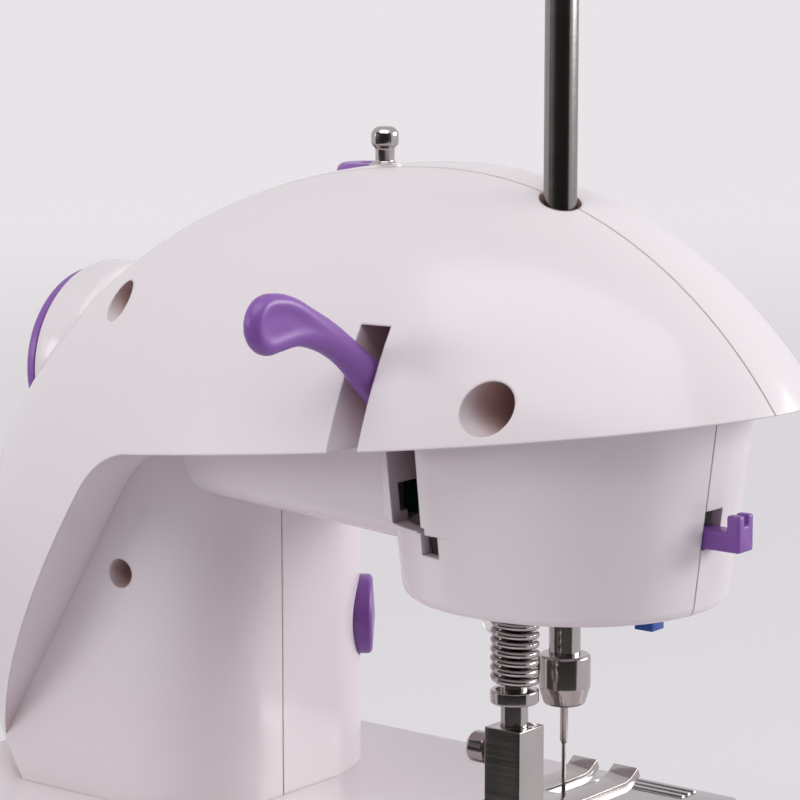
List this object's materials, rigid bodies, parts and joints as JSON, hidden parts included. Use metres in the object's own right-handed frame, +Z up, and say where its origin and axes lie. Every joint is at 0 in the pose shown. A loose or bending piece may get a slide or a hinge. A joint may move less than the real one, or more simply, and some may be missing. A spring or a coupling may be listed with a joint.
{
  "type": "compact sewing machine",
  "caption": "Compact electric sewing machine: egg-shaped hood on a column and flat bed, handwheel, needle and presser bars, lifter, spool pin, drop-in bobbin and geared belt drive.",
  "frame": {"origin": "the table plane under the middle of the base, on the plane the rubber feet stand on", "axes": "+Z up, +X along the arm towards the handwheel, -Y towards the person sewing"},
  "size_m": [0.2131, 0.1396, 0.259],
  "materials": {
    "white_shell": "glossy moulded",
    "white_gloss": "glossy moulded",
    "grey_cover": "fine texture",
    "purple": "glossy moulded",
    "rubber": "matte",
    "dark_plastic": "satin",
    "blue_plastic": "glossy moulded",
    "nylon": "satin",
    "steel": "satin",
    "chrome": "polished",
    "brass": "satin",
    "lamp_glass": "clear",
    "board_green": "satin"
  },
  "bodies": {
    "housing": {"rear_shell": "white_shell", "front_shell": "white_shell", "base_shell": "white_shell", "base_cover": "grey_cover", "rubber_feet": "rubber", "shell_screws": "chrome", "base_screws": "chrome", "plate_screws": "chrome", "needle_plate": "steel", "shuttle_race": "steel", "dc_jack": "dark_plastic", "pedal_jack": "dark_plastic", "motor": "steel", "motor_bracket": "steel", "arm_frame": "steel", "head_frame": "steel", "bar_bushes": "brass", "shaft_bushes": "brass", "pivot_pins": "steel", "drive_belt": "rubber", "presser_spring": "chrome", "sewing_lamp": "lamp_glass", "lamp_board": "board_green", "thread_cutter": "purple", "needle_thread_guide": "blue_plastic", "thread_post": "chrome", "tension_post": "steel"},
    "drive": {"main_shaft": "steel", "handwheel": "white_gloss", "handwheel_cap": "purple", "drive_gear": "nylon", "upper_pulley": "nylon", "crank_disc": "nylon"},
    "rotor": {"motor_pinion": "brass"},
    "lower_drive": {"lower_shaft": "steel", "lower_gear": "nylon", "lower_pulley": "nylon"},
    "hook": {"rotary_hook": "steel", "hook_gear": "nylon"},
    "bobbin_spool": {"bobbin": "nylon"},
    "feed": {"feed_dog": "steel"},
    "needle_slider": {"needle_bar": "chrome", "needle_yoke": "steel", "needle_clamp": "chrome", "clamp_screw": "chrome", "needle": "chrome"},
    "presser": {"presser_bar": "chrome", "presser_guide": "steel", "presser_foot": "chrome", "foot_screw": "chrome"},
    "lifter": {"presser_lifter": "purple"},
    "take_up": {"take_up_lever": "steel"},
    "dial": {"tension_dial": "purple"},
    "spool_outer": {"spool_tube": "chrome"},
    "spool_inner": {"spool_rod": "chrome"},
    "power": {"power_button": "purple"},
    "speed": {"speed_button": "purple"},
    "bobbin_cover": {"slide_plate": "steel"},
    "door": {"battery_door": "grey_cover"}
  },
  "joints": [
    {"name": "handwheel_turn", "type": "hinge", "parent": "housing", "child": "drive", "pos_m": [0, -0.014, 0.139], "axis": [1, 0, 0], "continuous": true},
    {"name": "rotor_turn", "type": "hinge", "parent": "housing", "child": "rotor", "pos_m": [0, -0.014, 0.1182], "axis": [1, 0, 0], "continuous": true},
    {"name": "lower_turn", "type": "hinge", "parent": "housing", "child": "lower_drive", "pos_m": [0, -0.0285, 0.022], "axis": [1, 0, 0], "continuous": true},
    {"name": "hook_turn", "type": "hinge", "parent": "housing", "child": "hook", "pos_m": [-0.0434, -0.0285, 0.036], "axis": [0, 0, 1], "continuous": true},
    {"name": "bobbin_turn", "type": "hinge", "parent": "housing", "child": "bobbin_spool", "pos_m": [-0.0434, -0.0285, 0.041], "axis": [0, 0, 1], "continuous": true},
    {"name": "feed_slide", "type": "slide", "parent": "housing", "child": "feed", "axis": [0, 1, 0], "range_m": [-0.0012, 0.0012]},
    {"name": "needle_slide", "type": "slide", "parent": "housing", "child": "needle_slider", "axis": [0, 0, 1], "range_m": [-0.013, 0.007]},
    {"name": "lifter_turn", "type": "hinge", "parent": "housing", "child": "lifter", "pos_m": [-0.036, 0.016, 0.138], "axis": [1, 0, 0], "range_deg": [-45, 0]},
    {"name": "presser_slide", "type": "slide", "parent": "housing", "child": "presser", "axis": [0, 0, 1], "range_m": [-0.0053, 0], "deforming": ["presser_spring"]},
    {"name": "take_up_turn", "type": "hinge", "parent": "housing", "child": "take_up", "pos_m": [-0.048, -0.028, 0.152], "axis": [1, 0, 0], "range_deg": [-20, 20]},
    {"name": "dial_turn", "type": "hinge", "parent": "housing", "child": "dial", "pos_m": [0.0119, -0.016, 0.188], "axis": [0, 0, 1], "range_deg": [-135, 135]},
    {"name": "spool_tube_slide", "type": "slide", "parent": "housing", "child": "spool_outer", "axis": [0, 0, 1], "range_m": [-0.044, 0]},
    {"name": "spool_rod_slide", "type": "slide", "parent": "spool_outer", "child": "spool_inner", "axis": [0, 0, 1], "range_m": [-0.025, 0]},
    {"name": "power_press", "type": "slide", "parent": "housing", "child": "power", "axis": [-0.788, -0.6157, 0], "range_m": [-0.0018, 0], "stiffness_N_per_m": 400},
    {"name": "speed_press", "type": "slide", "parent": "housing", "child": "speed", "axis": [0, -1, 0], "range_m": [-0.0018, 0], "stiffness_N_per_m": 400},
    {"name": "bobbin_cover_slide", "type": "slide", "parent": "housing", "child": "bobbin_cover", "axis": [0, -1, 0], "range_m": [0, 0.026]},
    {"name": "door_slide", "type": "slide", "parent": "housing", "child": "door", "axis": [-1, 0, 0], "range_m": [0, 0.05]}
  ],
  "couplings": [
    {"joint": "rotor_turn", "follows": "handwheel_turn", "ratio": -3.3333},
    {"joint": "lower_turn", "follows": "handwheel_turn", "ratio": 1},
    {"joint": "hook_turn", "follows": "handwheel_turn", "ratio": -2},
    {"joint": "lifter_turn", "follows": "presser_slide", "rad_per_m": 148.1}
  ]
}
